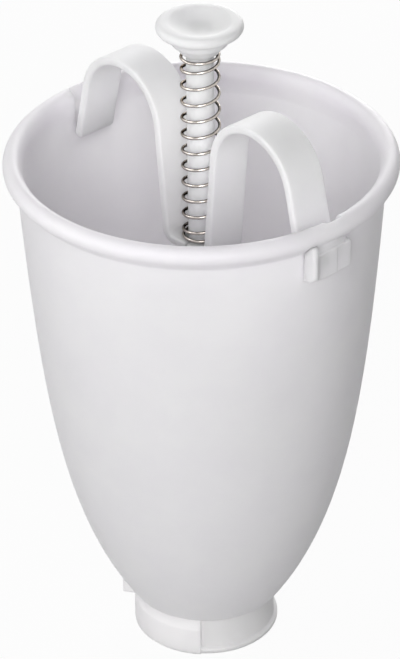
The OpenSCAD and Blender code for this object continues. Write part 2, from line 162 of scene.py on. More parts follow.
class PlungerSettings(bpy.types.PropertyGroup):
    """Sizes and colour of the rod, its plug and its knob."""

    rod_r: length("Rod radius", "Radius of the rod", 4.35 * MM)
    knob_r: length("Knob radius", "Radius of the thumb knob", high("thumb_knob").x)
    knob_z: length("Knob underside", "Underside of the thumb knob", low("thumb_knob").z)
    knob_top_z: length("Knob top", "Top of the thumb knob", high("thumb_knob").z)
    dish: length("Dish depth", "Depth of the thumb dish", 2.4 * MM)
    dish_part: share("Dish width", "Part of the knob's radius that the dish takes", 0.72)
    plug_r: length("Plug radius", "Radius of the plug", high("outlet_plug").x)
    plug_z: length("Plug underside", "Underside of the plug", low("outlet_plug").z)
    shade: colour("Plastic", "White of the plunger", (0.93, 0.93, 0.935))


class SpringSettings(bpy.types.PropertyGroup):
    """Sizes and colour of the return spring."""

    coil_r: length("Coil radius", "Radius of the coil's centre line", 5.9 * MM)
    wire_r: length("Wire radius", "Radius of the wire", 0.5 * MM)
    turns: share("Turns", "Turns of the wire", 12.75)
    end_pitch: length("End pitch", "Rise of the closed turn at each end", 1.6 * MM)
    phase: degrees("Phase", "Where the wire starts round the axis", -173.0)
    shade: colour("Steel", "Colour of the stainless wire", (0.6, 0.555, 0.51))


class StageSettings(bpy.types.PropertyGroup):
    """Camera, lamps and backdrop."""

    eye: place("Camera", "Where the camera stands", (0.8515, -0.7495, 0.8128))
    aim: place("Aim", "What the camera looks at", (-0.00076, -0.00086, 0.11216))
    lens: share("Lens", "Focal length on the 36 mm film, in millimetres", 226.15)
    roll: degrees("Roll", "Turn of the camera about its own axis", -0.8)
    floor_shade: colour("Floor", "Colour of the floor", (0.55, 0.55, 0.55))
    side_watts: share("Side lamp", "Power of the lamp high on the left, in watts", 4.6)
    low_watts: share("Low lamp", "Power of the low lamp on the left, in watts", 3.3)
    front_watts: share("Front lamp", "Power of the low lamp beside the camera, in watts", 7.2)
    high_watts: share("High lamp", "Power of the lamp above the camera's line, in watts", 6.2)
    back_watts: share("Back lamp", "Power of the lamp behind the part, in watts", 12.2)
    sky: share("Sky", "Strength of the even light", 0.14)


def walk(points, step, closed):
    """Points of an outline at an even step: the length so far is summed over the chords, and
    each coordinate is read off at equal lengths."""
    line = np.asarray(points, float)
    if closed:
        line = np.vstack([line, line[:1]])
    run = np.concatenate([[0.0], np.cumsum(np.linalg.norm(np.diff(line, axis=0), axis=1))])
    fewest = 40
    count = max(int(round(run[-1] / step)), fewest)
    at = np.linspace(0.0, run[-1], count + 1)
    even = np.stack([np.interp(at, run, line[:, k]) for k in range(line.shape[1])], axis=1)
    return even[:-1] if closed else even


def soften(points, reach, closed):
    """Rounds the corners of an outline: walked in steps of a quarter of the reach, each point
    becomes the mean of its neighbours weighted by a bell curve. A closed outline wraps, and an
    open one is mirrored through its ends, which stay where they are."""
    per_reach = 4
    side = 3 * per_reach
    even = walk(points, reach / per_reach, closed)
    span = np.arange(-side, side + 1)
    weight = np.exp(-0.5 * (span / per_reach) ** 2)
    weight /= weight.sum()
    if closed:
        padded = np.vstack([even[-side:], even, even[:side]])
    else:
        before = 2 * even[0] - even[side:0:-1]
        after = 2 * even[-1] - even[-2:-side - 2:-1]
        padded = np.vstack([before, even, after])
    return np.lib.stride_tricks.sliding_window_view(padded, len(span), axis=0) @ weight


def thin(points, error, longest, closed, focus=None):
    """Keeps as many points as the bends need: a chord c over a bend of curvature k leaves a gap
    of c * c * k / 8, so the step follows the root of 8 * error / k up to the longest step. focus
    gives a closer step for each point where a detail needs it."""
    line = np.asarray(points, float)
    ahead, behind = np.roll(line, -1, axis=0), np.roll(line, 1, axis=0)
    if not closed:
        ahead[-1], behind[0] = 2 * line[-1] - line[-2], 2 * line[0] - line[1]
    step = np.linalg.norm(ahead - line, axis=1)
    shortest, straight, fewest = 1e-12, 1e-3, 8
    bend = np.linalg.norm(ahead - 2 * line + behind, axis=1) / np.maximum(step, shortest) ** 2
    want = np.minimum(np.sqrt(8 * error / np.maximum(bend, straight)), longest)
    if focus is not None:
        want = np.minimum(want, focus)
    want = np.maximum(want, step.min())
    load = np.concatenate([[0.0], np.cumsum(step / want)])
    if closed:
        line = np.vstack([line, line[:1]])
    else:
        load = load[:-1]
    count = max(int(math.ceil(load[-1])), fewest)
    at = np.linspace(0.0, load[-1], count + 1)
    kept = np.stack([np.interp(at, load, line[:, k]) for k in range(line.shape[1])], axis=1)
    return kept[:-1] if closed else kept


def ramp(x, width):
    """Smooth step from 0 to 1 as x goes from minus half the width to plus half of it."""
    t = np.clip(x / width + 0.5, 0.0, 1.0)
    return t * t * (3 - 2 * t)


def window(x, start, end, width):
    """1 between start and end and 0 outside, with smooth steps of the given width."""
    return ramp(x - start, width) * ramp(end - x, width)


def around(count):
    """Even angles round the axis, in radians."""
    return np.arange(count) * (2 * math.pi / count)


def turned(angle, outline):
    """Carries an outline of radius and height round the z axis: x and y are the radius times the
    cosine and sine of the angle."""
    r, z = outline[:, 0], outline[:, 1]
    return np.stack([np.outer(np.cos(angle), r), np.outer(np.sin(angle), r),
                     np.broadcast_to(z, (len(angle), len(z)))], axis=-1)


def swung(x, y, z, turn):
    """Points x, y and z turned about the z axis: x cos - y sin and x sin + y cos."""
    c, n = math.cos(turn), math.sin(turn)
    return np.stack([x * c - y * n, x * n + y * c, z], axis=-1)


def quads(rows, cols, wrap_rows, wrap_cols):
    """Corner numbers of a grid's faces, with the last row or column joined to the first where it
    wraps."""
    number = np.arange(rows * cols).reshape(rows, cols)
    if wrap_rows:
        number = np.vstack([number, number[:1]])
    if wrap_cols:
        number = np.hstack([number, number[:, :1]])
    return np.stack([number[:-1, :-1], number[1:, :-1], number[1:, 1:], number[:-1, 1:]],
                    axis=-1).reshape(-1, 4)


def ladder(ring):
    """Faces across the end of a strip: each point of its upper side is joined to the point below
    it, counted from the other end of the ring."""
    half = len(ring) // 2
    top, under = ring[:half], ring[::-1][:half]
    return np.stack([top[:-1], top[1:], under[1:], under[:-1]], axis=-1)


def fan(ring, hub):
    """Triangles from a ring of points to one point."""
    return np.stack([ring, np.roll(ring, -1), np.full(len(ring), hub)], axis=-1)


def outward(points, faces, tris):
    """Turns the faces of a closed shell outwards: the volume is the sum over the triangles of
    the triple product of their corners, and a negative one means that they point inwards."""
    split = np.vstack([faces[:, [0, 1, 2]], faces[:, [0, 2, 3]], tris]).astype(int)
    a, b, c = points[split[:, 0]], points[split[:, 1]], points[split[:, 2]]
    if np.einsum("ij,ij->", a, np.cross(b, c)) < 0:
        return faces[:, ::-1], tris[:, ::-1]
    return faces, tris


NO_TRIS = np.zeros((0, 3), int)


def torus_shell(grid):
    """A grid that closes on itself both ways."""
    points = grid.reshape(-1, 3)
    return points, *outward(points, quads(*grid.shape[:2], True, True), NO_TRIS)


def spindle_shell(grid, start, end):
    """A grid whose rows go round and whose columns run from one pole to the other."""
    rows, cols = grid.shape[:2]
    points = np.vstack([grid.reshape(-1, 3), [start, end]])
    number = np.arange(rows * cols).reshape(rows, cols)
    tris = np.vstack([fan(number[::-1, 0], rows * cols), fan(number[:, -1], rows * cols + 1)])
    return points, *outward(points, quads(rows, cols, True, False), tris)


def strip_shell(grid):
    """A strip whose rows follow a path and whose columns go round its section, with a ladder of
    faces across each end."""
    rows, cols = grid.shape[:2]
    points = grid.reshape(-1, 3)
    number = np.arange(rows * cols).reshape(rows, cols)
    faces = np.vstack([quads(rows, cols, False, True), ladder(number[0])[:, ::-1],
                       ladder(number[-1])])
    return points, *outward(points, faces, NO_TRIS)


def piece(name, shells, body, slot, material, *nodes):
    """Puts closed shells into one smooth mesh that rides on a body and stands for its solids."""
    start = np.cumsum([0] + [len(s[0]) for s in shells])
    points = np.vstack([s[0] for s in shells])
    faces = [f for s, n in zip(shells, start) for f in (s[1] + n).tolist() + (s[2] + n).tolist()]
    mesh = bpy.data.meshes.new(name)
    mesh.from_pydata(points.tolist(), [], faces)
    mesh.validate()
    mesh.polygons.foreach_set("use_smooth", np.ones(len(mesh.polygons), bool))
    mesh.materials.append(material)
    mesh.update()
    obj = bpy.data.objects.new(name, mesh)
    bpy.context.scene.collection.objects.link(obj)
    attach(obj, body)
    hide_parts(*nodes)
    return obj


def link(tree, source, output, target, socket):
    """Joins two nodes by the names or numbers of their sockets."""
    tree.links.new(source.outputs[output], target.inputs[socket])


def fill(node, values):
    """Sets the sockets of a node by name or number."""
    for socket, value in values.items():
        node.inputs[socket].default_value = value


def math_node(tree, kind, operation):
    """A node that works on numbers or on vectors."""
    node = tree.nodes.new(kind)
    node.operation = operation
    return node


def noise_field(tree, where, scale, detail, rough):
    """Noise on the piece's own coordinates; scale is in waves per metre."""
    field = tree.nodes.new("ShaderNodeTexNoise")
    fill(field, {"Scale": scale, "Detail": detail, "Roughness": rough})
    link(tree, where, "Object", field, "Vector")
    return field


def blend_between(tree, field, first, second, start, end):
    """Colour that goes from the first to the second as the field goes from start to end."""
    mix = tree.nodes.new("ShaderNodeValToRGB")
    mix.color_ramp.elements[0].position, mix.color_ramp.elements[1].position = start, end
    mix.color_ramp.elements[0].color = (*first, 1.0)
    mix.color_ramp.elements[1].color = (*second, 1.0)
    link(tree, field, "Fac", mix, "Fac")
    return mix


def span_between(tree, field, low_value, high_value):
    """Number that goes from the low to the high value over the range that noise mostly keeps to,
    0.3 to 0.7."""
    span = tree.nodes.new("ShaderNodeMapRange")
    fill(span, {"From Min": 0.3, "From Max": 0.7, "To Min": low_value, "To Max": high_value})
    link(tree, field, "Fac", span, "Value")
    return span


def new_material(name):
    """An empty node material with its shader and its coordinates."""
    material = bpy.data.materials.new(name)
    material.use_nodes = True
    tree = material.node_tree
    shader = tree.nodes["Principled BSDF"]
    where = tree.nodes.new("ShaderNodeTexCoord")
    return material, tree, shader, where


def moulded_plastic(name, shade):
    """Moulded white plastic that lets light through: cloudy white in soft patches, a fine skin from
    the mould as bump and a gloss that varies where hands and washing have dulled it."""
    material, tree, shader, where = new_material(name)
    cloud_waves, dull_waves, skin_waves = 42.0, 160.0, 1500.0
    cool, glossiest, dullest = (0.972, 0.968, 0.982), 0.46, 0.56

    cloud = noise_field(tree, where, cloud_waves, detail=3.0, rough=0.55)
    cooler = tuple(c * k for c, k in zip(shade, cool))
    white = blend_between(tree, cloud, cooler, tuple(shade), start=0.35, end=0.65)
    link(tree, white, "Color", shader, "Base Color")
    dull = noise_field(tree, where, dull_waves, detail=4.0, rough=0.6)
    link(tree, span_between(tree, dull, glossiest, dullest), "Result", shader, "Roughness")
    skin = noise_field(tree, where, skin_waves, detail=2.0, rough=0.5)
    bump = tree.nodes.new("ShaderNodeBump")
    fill(bump, {"Strength": 0.06, "Distance": 0.05 * MM})
    link(tree, skin, "Fac", bump, "Height")
    link(tree, bump, "Normal", shader, "Normal")
    fill(shader, {"IOR": 1.49, "Specular IOR Level": 0.35, "Subsurface Weight": 0.85,
                  "Subsurface Radius": (1.0, 0.97, 1.0), "Subsurface Scale": 6.0 * MM})
    return material


def coil_side(tree, where):
    """Node whose value goes from -1 on the side of the coil that faces its axis to 1 on its
    outside: the product of the surface's normal and the direction away from the axis. It sets
    where shade is painted on the wire."""
    flat = math_node(tree, "ShaderNodeVectorMath", "MULTIPLY")
    fill(flat, {1: (1.0, 1.0, 0.0)})
    link(tree, where, "Object", flat, 0)
    away = math_node(tree, "ShaderNodeVectorMath", "NORMALIZE")
    link(tree, flat, "Vector", away, 0)
    facing = math_node(tree, "ShaderNodeVectorMath", "DOT_PRODUCT")
    link(tree, away, "Vector", facing, 0)
    link(tree, where, "Normal", facing, 1)
    return facing


def drawn_steel(name, shade):
    """Drawn stainless wire: fine streaks along the wire, a dark film in random patches with
    painted shade added to it, near black on the side of the coil that faces its axis and none on
    its outside, and a surface that turns dark towards grazing light."""
    material, tree, shader, where = new_material(name)
    # the third number weighs the painted shade on the side of the coil that faces its axis
    film_waves, streak_waves, side_shade, smoothest, roughest = 700.0, 2600.0, 0.45, 0.12, 0.24
    dark_end, patch, bright_start = 0.1, 0.45, 0.85
    parts = (0.05, 0.32, 1.0)

    film = noise_field(tree, where, film_waves, detail=3.0, rough=0.6)
    # painted shade: the film's random patches are darkened on the side of the coil that faces its
    # axis, down to near black
    film_and_side_shade = math_node(tree, "ShaderNodeMath", "MULTIPLY_ADD")
    fill(film_and_side_shade, {1: side_shade})
    link(tree, coil_side(tree, where), "Value", film_and_side_shade, 0)
    link(tree, film, "Fac", film_and_side_shade, 2)
    tone = tree.nodes.new("ShaderNodeValToRGB")
    stops = tone.color_ramp.elements
    stops[0].position, stops[1].position = dark_end, bright_start
    stops.new(patch)
    for stop, part in zip(stops, parts):
        stop.color = (*(c * part for c in shade), 1.0)
    link(tree, film_and_side_shade, "Value", tone, "Fac")
    link(tree, tone, "Color", shader, "Base Color")
    streak = noise_field(tree, where, streak_waves, detail=2.0, rough=0.5)
    link(tree, span_between(tree, streak, smoothest, roughest), "Result", shader, "Roughness")
    fill(shader, {"Metallic": 1.0, "Specular Tint": (0.12, 0.11, 0.1, 1.0)})
    return material


def rim_shape(s):
    """Round of the rim's crest as its radius and its centre's radius and height, and the height
    where the fillet under the rim leaves the wall."""
    top_r = s.rim_r - s.rim_over
    crest = (s.rim_over + s.wall) / 2
    crest_r, crest_z = s.rim_r - crest, s.rim_z - crest
    drop = crest + s.crease_r - math.cos(s.under) * (top_r + s.crease_r - crest_r)
    return crest, crest_r, crest_z, crest_z - drop / math.sin(s.under)


def bowl_radius(z, s):
    """Outside of the bowl: it grows from the shoulder to the rim as a mix of a plain taper and a
    rise that dies away, one less e to the minus swell times the height share."""
    top_r, fillet_z = s.rim_r - s.rim_over, rim_shape(s)[3]
    t = (z - s.shoulder_z) / (fillet_z - s.shoulder_z)
    rise = (1 - np.exp(-s.swell * t)) / (1 - math.exp(-s.swell))
    return s.shoulder_r + (top_r - s.shoulder_r) * ((1 - s.taper) * rise + s.taper * t)


def arc(cx, cz, r, start, end, count):
    """Points on a circle between two angles in degrees."""
    a = np.radians(np.linspace(start, end, count))
    return np.stack([cx + r * np.cos(a), cz + r * np.sin(a)], axis=-1)


def bowl_outline(s):
    """Closed section of the hopper from the throat, up the outside, over the rolled rim and down
    the inside; the inside is the outside moved in by the wall along its normal."""
    crest, crest_r, crest_z, fillet_z = rim_shape(s)
    fillet_r, end_a = s.rim_r - s.rim_over + s.crease_r, math.degrees(s.under)
    wall_count, fillet_count, crest_count, flare_count = 160, 12, 40, 24
    z = np.linspace(s.shoulder_z, fillet_z, wall_count)
    r = bowl_radius(z, s)
    slope = np.gradient(r, z)
    inner = np.stack([r - s.wall * np.sqrt(1 + slope ** 2), z], axis=-1)
    inner = inner[z > s.shoulder_z + s.wall][::-1]
    neck_h, neck_wall, floor_up = 8.06 * MM, 1.8 * MM, 0.2 * MM
    lip_h, lip_edge = 2.1 * MM, 1.05 * MM
    neck_z, floor_r = s.shoulder_z - neck_h, s.neck_r - neck_wall
    return np.vstack([
        [[s.throat_r, neck_z], [s.neck_r, neck_z], [s.neck_r, s.shoulder_z]],
        np.stack([r, z], axis=-1),
        arc(fillet_r, fillet_z, s.crease_r, HALF_TURN - SKIP, HALF_TURN - end_a, fillet_count),
        arc(crest_r, crest_z, crest, -end_a, 90.0, crest_count),
        arc(0.0, 0.0, 1.0, 90.0 + SKIP, HALF_TURN, flare_count) * [crest, s.flare]
        + [crest_r, s.rim_z - s.flare],
        inner,
        [[floor_r, s.shoulder_z + floor_up], [floor_r, neck_z + lip_h],
         [s.throat_r, neck_z + lip_edge]]])


# Edges and faces of the near buckle; angles are in degrees from the x axis
BUCKLE = {
    "low": 159.75 * MM, "top": 169.15 * MM, "half": 7.8 * MM, "round": 1.2 * MM,
    "face": 61.2 * MM, "step_y": 1.25 * MM, "step": 0.26 * MM, "lean": 0.33 * MM,
    "fin_y": -8.4 * MM, "fin_w": 2.4 * MM, "fin_in": 57.0 * MM, "fin_end": 62.5 * MM,
    "fin_top": 172.8 * MM, "fin_round": 1.18 * MM,
    "pocket": 59.9 * MM, "pocket_low": 164.45 * MM, "pocket_top": 168.21 * MM,
    "pocket_start": -7.36, "entry_start": -2.16, "entry_end": 4.2,
    "riser": 60.55 * MM, "riser_low": 164.5 * MM, "riser_start": -7.9, "riser_end": 5.2,
}


def buckle_angles():
    """Angles round the bowl, close together at the two buckles and wide apart between them."""
    start, end, close, wide_count = -10.6, 9.4, 0.22, 66
    near = np.arange(start, end, close)
    far = np.linspace(end, HALF_TURN + start, wide_count)[:-1]
    half = np.concatenate([near, far])
    return np.radians(np.concatenate([half, half + HALF_TURN]))


def buckled(angle, outline, s):
    """The bowl with its rotary buckles: over the block and the riser the outside moves along x to
    their faces, by a window on the distance to their outlines, and inside the pocket and its way
    in the inner wall moves out to the pocket's radius, by windows on angle and height."""
    b = BUCKLE
    step_w, edge_w, soft_w = 0.3 * MM, 0.5 * MM, 0.4 * MM
    edge_a, soft_a, entry_over = 0.5, 0.4, 2.0
    a = np.degrees((angle + math.pi / 2) % math.pi - math.pi / 2)[:, None]
    r = np.broadcast_to(outline[:, 0], (len(angle), len(outline))).copy()
    z = np.broadcast_to(outline[:, 1], r.shape).copy()
    crest, crest_r, crest_z, _ = rim_shape(s)
    outside = np.arange(len(outline)) < int(np.argmax(outline[:, 1]))
    inside = ~outside | (outline[:, 1] > crest_z)
    rad = np.radians(a)
    x, y = r * np.cos(rad), r * np.sin(rad)

    face = b["face"] - ramp(y - b["step_y"], step_w) * (
        b["step"] + b["lean"] * (y - b["step_y"]) / (b["half"] - b["step_y"]))
    mid_z, half_h = (b["low"] + b["top"]) / 2, (b["top"] - b["low"]) / 2
    over_y = np.abs(y) - b["half"] + b["round"]
    over_z = np.abs(z - mid_z) - half_h + b["round"]
    block = np.hypot(np.maximum(over_y, 0), np.maximum(over_z, 0)) + np.minimum(
        np.maximum(over_y, over_z), 0) - b["round"]
    block = ramp(-block, edge_w)

    riser = window(a, b["riser_start"], b["riser_end"], edge_a) * window(
        z, b["riser_low"], crest_z, edge_w)
    riser_x = b["riser"] * np.cos(rad)
    moved = np.maximum.reduce([x, x + block * (face - x), x + riser * (riser_x - x)])
    x = np.where(outside, moved, x)
    r = np.hypot(x, y)
    theta = np.where(outside, np.arctan2(y, x), rad)

    entry = window(a, b["entry_start"], b["entry_end"], soft_a) * ramp(z - b["pocket_low"], soft_w)
    pocket = window(a, b["pocket_start"], b["entry_start"] + entry_over, soft_a) * window(
        z, b["pocket_low"], b["pocket_top"], soft_w)
    deep = np.maximum(entry, pocket)
    cut = np.where(inside, r + deep * np.maximum(b["pocket"] - r, 0), r)
    crown = crest_z + np.sqrt(np.maximum(crest ** 2 - (cut - crest_r) ** 2, 0))
    z = np.where(inside & (cut > r) & (cut > crest_r), np.minimum(z, crown), z)
    whole = theta + (angle[:, None] - rad)
    return np.stack([cut * np.cos(whole), cut * np.sin(whole), z], axis=-1)


def fin_shell(turn):
    """Stop fin: a round-nosed section that reaches from inside the wall to the nose is carried
    down the wall, and its reach falls away in a quarter ellipse at the top and at the foot."""
    b = BUCKLE
    full, steps = b["fin_end"] - b["fin_in"], 12
    a = np.linspace(0.0, math.pi / 2, steps)
    head_h, head_in, foot_h, foot_in = 1.8 * MM, 1.8 * MM, 2.8 * MM, 4.2 * MM
    head_z, foot_z = b["fin_top"] - head_h * (1 - np.cos(a)), b["low"] + foot_h * (1 - np.sin(a))
    z = np.concatenate([head_z, foot_z])
    cut = np.concatenate([head_in * (1 - np.sin(a)), foot_in * (1 - np.cos(a))])
    section = strip_section(full, b["fin_w"], b["fin_round"], flats=6, steps=8)
    x = b["fin_in"] + (section[:, 0] / full + 0.5)[None] * (full - cut)[:, None]
    y = np.broadcast_to(b["fin_y"] + section[:, 1], x.shape)
    return strip_shell(swung(x, y, np.broadcast_to(z[:, None], x.shape), turn))


def bowl_shells(s):
    """The hopper as one closed skin, with a round stop fin beside each buckle."""
    longest, block_step, rim_step, margin = 6.0 * MM, 0.26 * MM, 0.5 * MM, 1.0 * MM
    even = soften(bowl_outline(s), s.soft, True)
    close = np.full(len(even), longest)
    z = even[:, 1]
    close[(z > BUCKLE["low"] - margin) & (z < BUCKLE["top"] + margin)] = block_step
    close[z >= BUCKLE["top"] + margin] = rim_step
    outline = thin(even, FINE, longest, True, close)
    return [torus_shell(buckled(buckle_angles(), outline, s)), fin_shell(0.0), fin_shell(math.pi)]


def ring_angles(s):
    """Angles round the ring, close together at the two ends of the band."""
    start, end = math.degrees(s.band_start), math.degrees(s.band_end)
    near, close, wide = 3, 0.25, 2.5
    spots = [np.arange(start - near, start + near, close), np.arange(start + near, end - near, wide),
             np.arange(end - near, end + near, close),
             np.arange(end + near, start + 2 * HALF_TURN - near, wide)]
    return np.radians(np.concatenate(spots))


def ring_shells(s):
    """Outlet ring: its section is turned round the axis, and between the ends of the grip band
    the outside moves out to the band, which slopes back to the plain wall at the top."""
    ledge_z, bevel_z, lip = 6.34 * MM, s.top_z - 4.32 * MM, s.lip_r - s.plain_r
    lip_h, top_in, longest, band_edge = 2.5 * MM, 0.5 * MM, 1.5 * MM, 0.7
    section = [[s.bore_r, 0], [s.lip_r - lip / 2, 0], [s.lip_r, lip / 2], [s.lip_r, lip_h - lip / 2],
               [s.plain_r, lip_h], [s.plain_r, bevel_z], [s.plain_r - top_in, s.top_z],
               [s.seat_r, s.top_z], [s.seat_r, ledge_z], [s.bore_r, ledge_z]]
    outline = thin(soften(section, s.soft, True), FINE, longest, True)
    angle = ring_angles(s)
    a = np.degrees(angle)[:, None] % (2 * HALF_TURN)
    r, z = outline[:, 0], outline[:, 1]
    drop, turn_in, flat = 0.2 * MM, lip / 2, 0.05 * MM
    band = s.band_r - np.maximum(drop + turn_in - z, 0) - np.maximum(z - bevel_z, 0) * (
        (s.band_r - s.plain_r) / (s.top_z - drop - bevel_z))
    on = window(a, math.degrees(s.band_start), math.degrees(s.band_end), band_edge)
    outer = (r > (s.seat_r + s.plain_r) / 2) & (z > flat) & (z < s.top_z - flat)
    full = np.where(outer, r + on * np.maximum(band - r, 0), r)
    grid = np.stack([full * np.cos(angle)[:, None], full * np.sin(angle)[:, None],
                     np.broadcast_to(z, full.shape)], axis=-1)
    tab_in_r, tab_side, tab_front, tab_edge = 21.7 * MM, -0.8 * MM, 2.4 * MM, 0.5 * MM
    tab_low, tab_top = s.top_z - 8.6 * MM, s.top_z - 0.6 * MM
    tab = bar_shell(tab_in_r, s.tab_end_r, tab_side, tab_front, tab_low, tab_top, tab_edge,
                    s.band_start)
    return [torus_shell(grid), tab]


def rounded_side(w, t, r, flats, steps):
    """One side of a strip's section from its left edge to its right one: a quarter round, a flat
    and a quarter round."""
    a = np.radians(np.linspace(0.0, 90.0, steps))
    right = np.stack([w / 2 - r + r * np.cos(a), t / 2 - r + r * np.sin(a)], axis=-1)
    flat = np.linspace(w / 2 - r, r - w / 2, flats + 2)[1:-1]
    left = right[::-1] * [-1, 1]
    return np.vstack([right, np.stack([flat, np.full(flats, t / 2)], axis=-1), left])


def strip_section(w, t, r, flats, steps):
    """Closed section of the strip: its upper side from right to left, then the mirrored lower
    side back from left to right."""
    upper = rounded_side(w, t, r, flats, steps)
    return np.vstack([upper, upper[::-1] * [1, -1]])


def bar_shell(r_in, r_out, y_low, y_high, z_low, z_high, edge, turn):
    """A bar with rounded edges that points away from the axis: its section is carried along the
    radius, and shrinks by the edge's quarter round at the outer end."""
    steps, corner = 6, 1.02
    a = np.linspace(0.0, math.pi / 2, steps)[1:]
    straight = np.linspace(r_in, r_out - edge, steps)
    along = np.concatenate([straight, r_out - edge + edge * np.sin(a)])
    inset = np.concatenate([np.zeros(steps), edge * (1 - np.cos(a))])
    w, t = z_high - z_low, y_high - y_low
    full = strip_section(w, t, corner * edge, flats=6, steps=steps)
    scale = np.stack([1 - 2 * inset / w, 1 - 2 * inset / t], axis=-1)
    section = full[None] * scale[:, None]
    x = np.broadcast_to(along[:, None], section.shape[:2])
    y = (y_low + y_high) / 2 + section[..., 1]
    z = (z_low + z_high) / 2 + section[..., 0]
    return strip_shell(swung(x, y, z, turn))


def bracket_path(s):
    """Centre line of one half of the strip as x, z and heading: straight runs and bends follow
    each other, the heading is the sum of the bends so far, and x and z are the sums of its cosine
    and sine over the length."""
    lean_in, lean_out, t = s.inner_lean, s.outer_lean, s.thick
    arch_cz = s.arch_z - s.arch_r
    seat = s.leg_in + s.corner_r * math.tan(lean_in) - s.corner_r / math.cos(lean_in)
    inner_h, outer_h = arch_cz - s.seat_z - s.corner_r, arch_cz - s.foot_z
    inner = inner_h / math.cos(lean_in) + (s.arch_r + s.corner_r) * math.tan(lean_in)
    outer = outer_h / math.cos(lean_out) + s.arch_r * math.tan(lean_out)
    corner_mid, arch_mid = s.corner_r + t / 2, s.arch_r - t / 2
    corner_turn, arch_turn = math.pi / 2 - lean_in, math.pi - lean_in - lean_out
    runs = np.array([seat, corner_mid * corner_turn, inner, arch_mid * arch_turn, outer])
    bends = np.array([0.0, 1 / corner_mid, 0.0, -1 / arch_mid, 0.0])
    ends = np.cumsum(runs)
    samples, counts, foot_count = 8001, (8, 14, 16, 60, 14), 7
    fine = np.linspace(0.0, ends[-1], samples)
    turn = np.concatenate([[0.0], np.cumsum(runs * bends)])
    heading = np.interp(fine, np.concatenate([[0.0], ends]), turn)
    step = fine[1] - fine[0]
    mid = (heading[1:] + heading[:-1]) / 2
    x = np.concatenate([[0.0], np.cumsum(np.cos(mid)) * step])
    z = s.seat_z - t / 2 + np.concatenate([[0.0], np.cumsum(np.sin(mid)) * step])
    foot = ends[4] - s.edge_r
    marks = [0.0, *ends[:4], foot]
    stations = [np.linspace(a, b, n)[:-1] for a, b, n in zip(marks, marks[1:], counts)]
    foot_round = foot + s.edge_r * np.sin(np.linspace(0.0, math.pi / 2, foot_count))
    at = np.concatenate([*stations, foot_round])
    return at, seat, [np.interp(at, fine, v) for v in (x, z, heading)]


def half_strip(s, turn):
    """One half of the strip: its section stands square to the path, shrinks in a quarter round
    at the foot, and at the seat starts on the circle of the guide's bore."""
    at, seat, (x, z, heading) = bracket_path(s)
    foot_part, bore_gap = 0.9, 0.02 * MM
    near = np.clip((at - at[-1] + s.edge_r) / s.edge_r, 0.0, 1.0)
    inset = s.edge_r * (1 - np.sqrt(1 - near ** 2)) * foot_part
    full = strip_section(s.width, s.thick, s.edge_r, flats=40, steps=7)
    p = full[None, :, 0] * (1 - 2 * inset / s.width)[:, None]
    q = full[None, :, 1] * (1 - 2 * inset / s.thick)[:, None]
    begin = np.sqrt(np.maximum(s.guide_r ** 2 - p ** 2, 0)) - bore_gap
    early = np.clip(1 - at / seat, 0.0, 1.0)[:, None]
    px = x[:, None] - q * np.sin(heading)[:, None] + early * begin
    pz = z[:, None] + q * np.cos(heading)[:, None]
    return strip_shell(swung(px, p, pz, turn))


def bracket_shells(s):
    """Finger bracket: two halves of the strip, the guide under the seat and a tongue on each
    foot that reaches into the buckle's pocket."""
    guide_h, guide_soft, guide_error, longest = 7.0 * MM, 0.2 * MM, 0.006 * MM, 2.0 * MM
    guide_sides = 72
    out_r, mid_z = s.guide_r + s.guide_wall, s.seat_z - s.thick / 2
    low_z = s.seat_z - s.thick - guide_h
    tube = soften([[s.guide_r, low_z], [out_r, low_z], [out_r, mid_z], [s.guide_r, mid_z]],
                  guide_soft, True)
    tube = thin(tube, guide_error, longest, True)
    shells = [torus_shell(turned(around(guide_sides), tube))]
    tongue_turn, half_w, edge, top_z = math.radians(-4.18), 2.8 * MM, 0.4 * MM, 167.9 * MM
    root, hook = (52.6 * MM, 59.4 * MM, 165.3 * MM), (57.3 * MM, 59.55 * MM, 164.75 * MM)
    for side in (0.0, math.pi):
        shells.append(half_strip(s, side))
        for r_in, r_out, z in (root, hook):
            shells.append(bar_shell(r_in, r_out, -half_w, half_w, z, top_z, edge, side + tongue_turn))
    return shells


def spindle(profile, reach, count, longest):
    """A profile from the axis to the axis, softened, thinned and turned round the axis."""
    line = thin(soften(profile, reach, False), FINE, longest, False)
    grid = turned(around(count), line[1:-1])
    return spindle_shell(grid, (0, 0, line[0, 1]), (0, 0, line[-1, 1]))


def rod_shells(s):
    """Plain round rod with a small chamfer at each end."""
    low_z, top_z, cut = low("plunger_rod").z, high("plunger_rod").z, 0.5 * MM
    return [spindle([[0, low_z], [s.rod_r - cut, low_z], [s.rod_r, low_z + cut],
                     [s.rod_r, top_z - cut], [s.rod_r - cut, top_z], [0, top_z]],
                    reach=0.15 * MM, count=64, longest=12.0 * MM)]


def plug_shells(s):
    """Cone plug: a shallow hollow below, a straight edge, a cone at 45 degrees and the boss that
    holds the rod in its socket."""
    top_z, boss, floor, edge_h = high("outlet_plug").z, 5.87 * MM, 1.5 * MM, 3.0 * MM
    edge_z = s.plug_z + edge_h
    hollow, socket = 0.7 * s.plug_r, s.rod_r + SOCKET_GAP
    cone_z = edge_z + s.plug_r - boss
    return [spindle([[0, s.plug_z + floor], [hollow - floor, s.plug_z + floor], [hollow, s.plug_z],
                     [s.plug_r, s.plug_z], [s.plug_r, edge_z], [boss, cone_z], [boss, top_z],
                     [socket, top_z], [socket, edge_z], [0, edge_z]],
                    reach=0.2 * MM, count=96, longest=3.0 * MM)]


